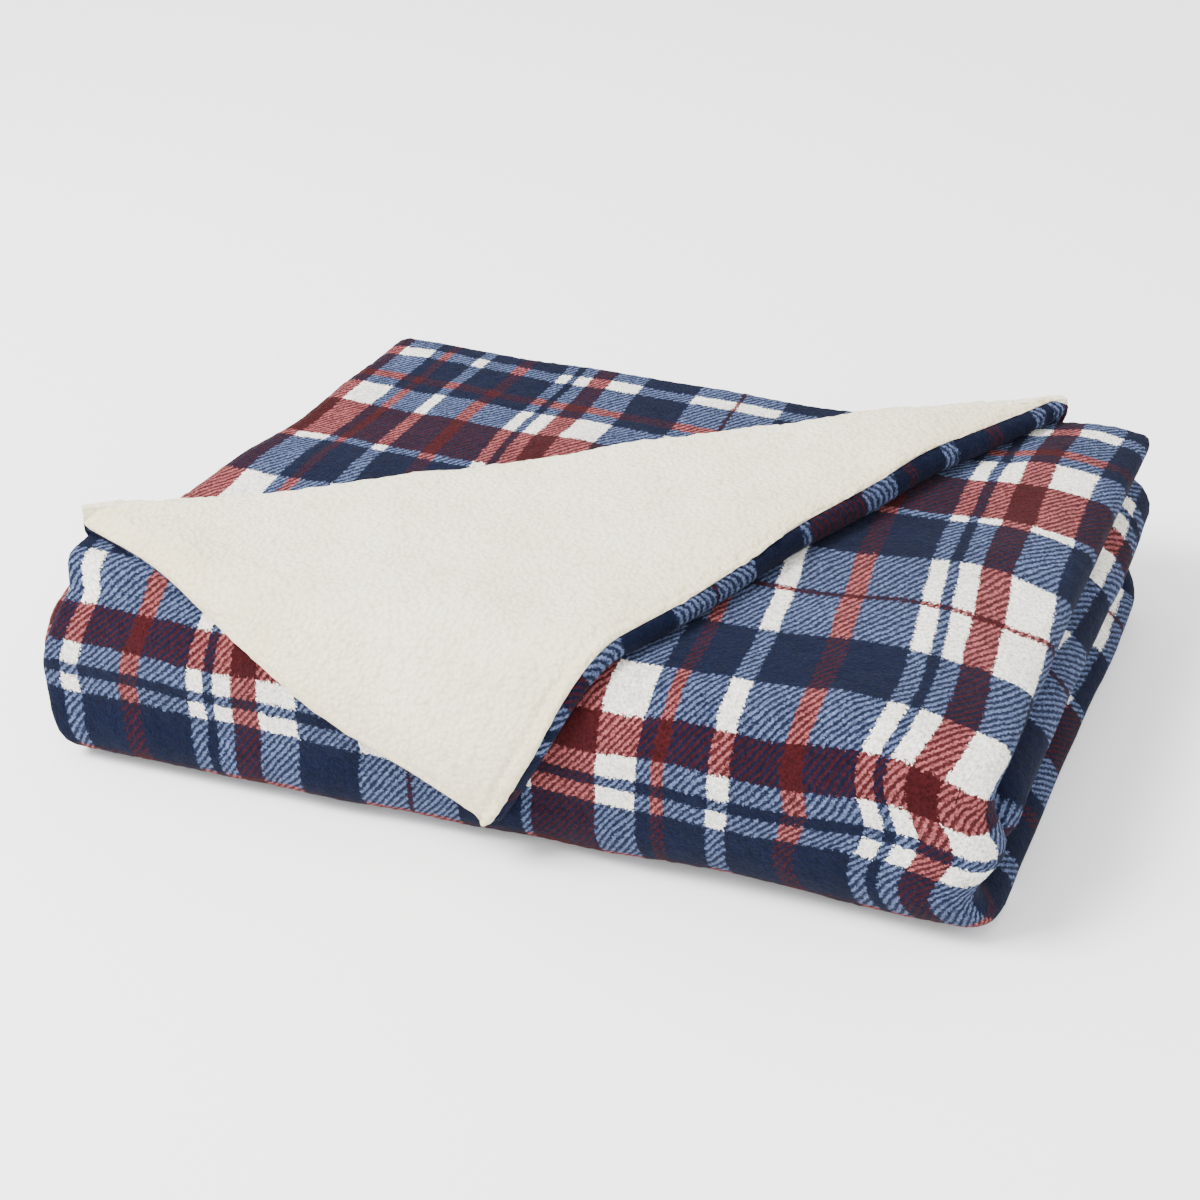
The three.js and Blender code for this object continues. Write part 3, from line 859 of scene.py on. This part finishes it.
def plush_material():
    """Printed plaid on short plush: yarn hatching where two colours cross."""
    n = Nodes("printed_plush")
    sheet = n.add("ShaderNodeAttribute", attribute_name="sheet").outputs["Vector"]
    split = n.add("ShaderNodeSeparateXYZ")
    n.feed(split.inputs[0], sheet)
    ragged = n.math("MULTIPLY", n.math("SUBTRACT", n.noise(1.3), 0.5), 5.2)
    drift = n.math("MULTIPLY", n.math("SUBTRACT", n.noise(45.0), 0.5), 5.0)
    drifted_u = n.math("ADD", split.outputs[0], drift)
    drifted_v = n.math("ADD", split.outputs[1], drift)
    u = n.math("ADD", drifted_u, ragged)
    v = n.math("ADD", drifted_v, ragged)
    warp_share = n.repeats(u, REPEATS_BEFORE - WARP_START, REPEAT)
    weft_share = n.repeats(v, REPEATS_BEFORE - WEFT_START, REPEAT)
    warp = n.ramp(warp_share, sett_stops(False), "CONSTANT")
    weft = n.ramp(weft_share, sett_stops(True), "CONSTANT")
    yarns = n.math("ADD", n.math("ADD", drifted_u, drifted_v), n.math("MULTIPLY", ragged, 0.8))
    twill = n.repeats(yarns, TWILL_BEFORE, TWILL)
    dim, bright = grey(0.07), grey(0.85)
    lines = n.ramp(twill, [(0.0, dim), (0.34, dim), (0.58, bright), (0.84, bright), (1.0, dim)])
    strands = n.ramp(n.noise(1.2, 4.0, 0.7), [(0.32, grey(0.35)), (0.62, grey(1.3))])
    hatch = n.math("MULTIPLY", lines, strands)
    # Where white crosses a colour, the light yarn takes a tint of that colour.
    product = n.mix(1.0, n.ramp(warp_share, sett_stops(False, TINTS), "CONSTANT"),
                    n.ramp(weft_share, sett_stops(True, TINTS), "CONSTANT"), "MULTIPLY")
    warp_is_lighter = n.math("GREATER_THAN", warp, weft)
    darkest = n.mix(warp_is_lighter, warp, weft)
    lightest = n.mix(warp_is_lighter, weft, warp)
    light = n.mix(1.0, lightest, product, "DARKEN")
    plaid = n.mix(hatch, darkest, light)
    shade = n.ramp(n.noise(1.7, 4.0, 0.7), [(0.3, grey(0.45)), (0.7, grey(1.35))])
    nap = n.ramp(n.noise(26.0), [(0.3, grey(0.86)), (0.7, grey(1.08))])
    color = n.mix(1.0, n.mix(1.0, plaid, shade, "MULTIPLY"), nap, "MULTIPLY")
    n.feed(n.shader.inputs["Base Color"], color)
    fine = n.bump(n.noise(1.5, 4.0, 0.7), 1.6, 0.9)
    n.feed(n.shader.inputs["Normal"], n.bump(n.noise(7.0), 2.0, 0.5, fine))
    n.feed(n.shader.inputs["Roughness"], n.math("ADD", 0.78, n.math("MULTIPLY", n.noise(5.0), 0.2)))
    n.shader.inputs["Sheen Weight"].default_value = 0.03
    n.shader.inputs["Sheen Roughness"].default_value = 0.4
    n.shader.inputs["Specular IOR Level"].default_value = 0.04
    return n.material


def sherpa_material():
    """Cream sherpa: small curled tufts, with painted shade between them and in the hollows of the
    curls.
    """
    n = Nodes("cream_sherpa")
    tufts = n.cells(3.0)
    curls = n.noise(1.8, 4.0, 0.7)
    # Painted shade: the cream darkens between the tufts and where the curls are low, where the bump is
    # low too.
    between = [(0.0, grey(1.03)), (0.5, (0.98, 0.97, 0.95, 1)), (0.95, (0.86, 0.83, 0.76, 1))]
    painted_tuft_shade = n.ramp(tufts, between)
    painted_curl_shade = n.ramp(curls, [(0.3, (0.90, 0.88, 0.83, 1)), (0.65, grey(1.04))])
    patch = n.ramp(n.noise(38.0), [(0.3, (0.94, 0.93, 0.88, 1)), (0.7, grey(1.03))])
    tone_with_painted_shade = n.mix(1.0, n.mix(1.0, painted_tuft_shade, painted_curl_shade, "MULTIPLY"), patch, "MULTIPLY")
    # Towards a hem the pile is longer and a little yellower.
    split = n.add("ShaderNodeSeparateXYZ")
    n.feed(split.inputs[0], n.add("ShaderNodeAttribute", attribute_name="sheet").outputs["Vector"])
    to_hem = n.math("DIVIDE", split.outputs[2], 45.0)
    warmth = n.ramp(to_hem, [(0.0, (0.95, 0.90, 0.78, 1)), (1.0, grey(1.0))])
    warm_tone = n.mix(1.0, tone_with_painted_shade, warmth, "MULTIPLY")
    n.feed(n.shader.inputs["Base Color"], n.mix(1.0, CREAM, warm_tone, "MULTIPLY"))
    height = n.math("SUBTRACT", curls, n.math("MULTIPLY", tufts, 0.9))
    n.feed(n.shader.inputs["Normal"], n.bump(height, 2.2, 0.8))
    n.feed(n.shader.inputs["Roughness"], n.math("ADD", 0.82, n.math("MULTIPLY", curls, 0.15)))
    n.shader.inputs["Sheen Weight"].default_value = 0.15
    n.shader.inputs["Sheen Roughness"].default_value = 0.6
    n.shader.inputs["Specular IOR Level"].default_value = 0.15
    return n.material


def thread_material():
    """Cream sewing thread with its twist, and painted shade in the twist's grooves."""
    n = Nodes("sewing_thread")
    wave = n.add("ShaderNodeTexWave", bands_direction="DIAGONAL")
    n.feed(wave.inputs["Vector"], n.place())
    wave.inputs["Scale"].default_value = 700.0
    # Painted shade: the thread is darker where the twist's bump is low.
    tone_with_painted_shade = n.ramp(wave.outputs[1], [(0.2, (0.70, 0.64, 0.52, 1)), (0.8, (0.84, 0.78, 0.66, 1))])
    n.feed(n.shader.inputs["Base Color"], tone_with_painted_shade)
    n.feed(n.shader.inputs["Normal"], n.bump(wave.outputs[1], 0.2, 0.8))
    n.feed(n.shader.inputs["Roughness"], n.math("ADD", 0.5, n.math("MULTIPLY", wave.outputs[1], 0.15)))
    return n.material


materials = {
    "plush_face": plush_material(),
    "sherpa_back": sherpa_material(),
    "thread": thread_material(),
}


# ---- The scene: floor, lights and camera ----

SURROUND = 2.1  # how bright the white surround is
FLOOR_HALF = 6  # metres

def floor_material():
    """Plain and pale."""
    n = Nodes("pale_floor")
    n.shader.inputs["Base Color"].default_value = grey(0.94)
    n.shader.inputs["Roughness"].default_value = 0.9
    return n.material


def lay_floor():
    """A wide plain floor, which isn't part of the blanket."""
    mesh = bpy.data.meshes.new("floor")
    corners = [(x * FLOOR_HALF, y * FLOOR_HALF, 0) for x, y in ((-1, -1), (1, -1), (1, 1), (-1, 1))]
    mesh.from_pydata(corners, [], [(0, 1, 2, 3)])
    mesh.materials.append(floor_material())
    floor = bpy.data.objects.new("floor", mesh)
    bpy.context.scene.collection.objects.link(floor)


def add_light(name, place, size, power):
    """A soft square light that faces the blanket."""
    data = bpy.data.lights.new(name, "AREA")
    data.size = size
    data.energy = power
    light = bpy.data.objects.new(name, data)
    light.location = place
    aim = Vector((0, 0, 0.05)) - light.location
    light.rotation_euler = aim.to_track_quat("-Z", "Y").to_euler()
    bpy.context.scene.collection.objects.link(light)


def light_scene():
    """A white surround, a soft key light and a weak fill."""
    world = bpy.data.worlds.new("studio")
    world.use_nodes = True
    background = world.node_tree.nodes["Background"]
    background.inputs["Color"].default_value = (1, 1, 1, 1)
    background.inputs["Strength"].default_value = SURROUND
    bpy.context.scene.world = world
    add_light("key", (-1.2, -0.9, 2.0), 1.0, 150)
    add_light("fill", (1.6, -1.4, 1.2), 1.6, 14)


VIEW_AZIMUTH = 21.4
VIEW_ELEVATION = 34.3
VIEW_ROLL = -1.8
VIEW_DISTANCE = 1148.0
VIEW_TARGET = (-9.4, 0.4, 50.0)
VIEW_FOCAL = 2036.0  # in pixels of the frame
FRAME_WIDTH = 1200  # in pixels
SENSOR_WIDTH = 36


def place_camera():
    """The camera, from its angles, distance and target."""
    azimuth = math.radians(VIEW_AZIMUTH)
    elevation = math.radians(VIEW_ELEVATION)
    roll = math.radians(VIEW_ROLL)
    level = math.cos(elevation)
    forward = Vector((-math.sin(azimuth) * level, math.cos(azimuth) * level, -math.sin(elevation)))
    right = Vector((math.cos(azimuth), math.sin(azimuth), 0))
    up = right.cross(forward)
    rolled_right = math.cos(roll) * right + math.sin(roll) * up
    rolled_up = math.cos(roll) * up - math.sin(roll) * right
    data = bpy.data.cameras.new("camera")
    data.sensor_width = SENSOR_WIDTH
    data.lens = VIEW_FOCAL * SENSOR_WIDTH / FRAME_WIDTH
    camera = bpy.data.objects.new("camera", data)
    turn = Matrix([rolled_right, rolled_up, -forward]).transposed()
    place = (Vector(VIEW_TARGET) - forward * VIEW_DISTANCE) / 1000
    camera.matrix_world = Matrix.Translation(place) @ turn.to_4x4()
    bpy.context.scene.collection.objects.link(camera)
    bpy.context.scene.camera = camera


fold_stack()
turn_corner()
stitch_corner()
lay_floor()
light_scene()
place_camera()
